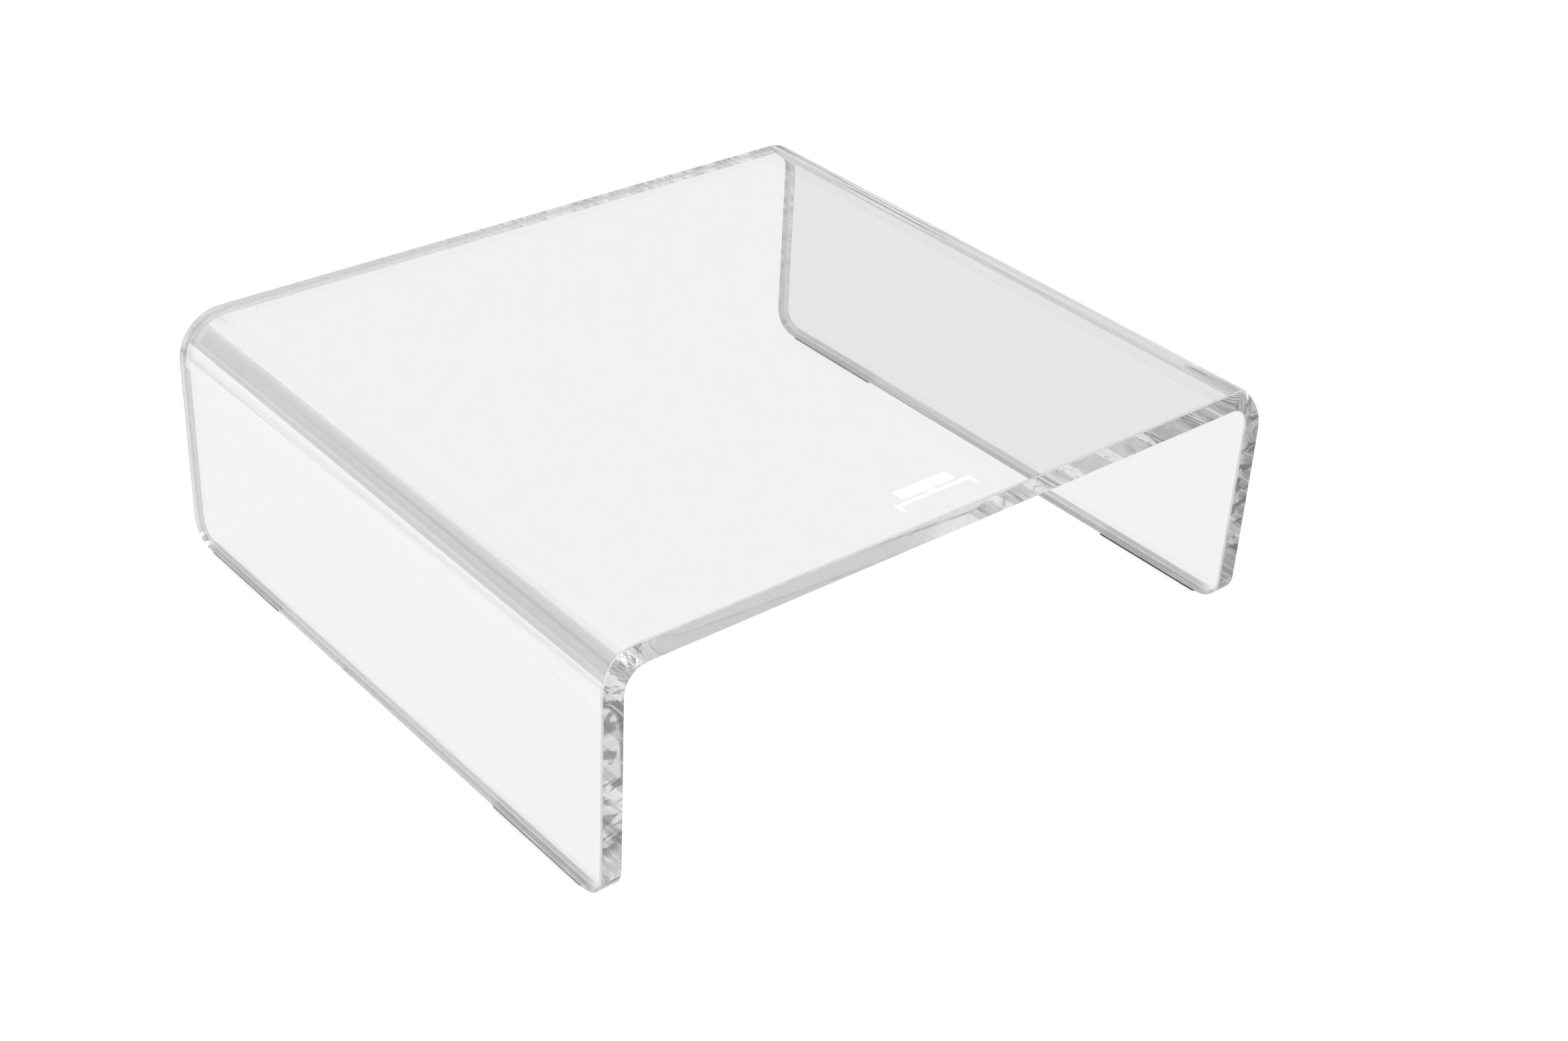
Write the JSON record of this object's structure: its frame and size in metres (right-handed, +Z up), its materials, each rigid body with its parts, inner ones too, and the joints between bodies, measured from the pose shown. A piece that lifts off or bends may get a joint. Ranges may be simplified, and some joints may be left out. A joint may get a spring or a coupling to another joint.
{
  "type": "monitor riser stand",
  "caption": "Low bridge-shaped desk stand of clear acrylic sheet, bent down into a leg at each side, that raises a monitor and leaves room for a keyboard underneath.",
  "frame": {"origin": "on the floor, midway between the legs and midway between the front and rear edges", "axes": "+X from the left leg to the right leg, +Y from the front edge with the printed mark to the rear edge, +Z up"},
  "size_m": [0.295, 0.262, 0.095],
  "materials": {
    "clear_acrylic": "polished",
    "dark_rubber": "matte",
    "clear_adhesive": "satin",
    "white_ink": "satin"
  },
  "bodies": {
    "root": {"riser_sheet": "clear_acrylic", "anti_slip_strip_front_left": "dark_rubber", "anti_slip_strip_rear_left": "dark_rubber", "anti_slip_strip_front_right": "dark_rubber", "anti_slip_strip_rear_right": "dark_rubber", "adhesive_film_front_left": "clear_adhesive", "adhesive_film_rear_left": "clear_adhesive", "adhesive_film_front_right": "clear_adhesive", "adhesive_film_rear_right": "clear_adhesive", "printed_mark": "white_ink"}
  },
  "joints": []
}
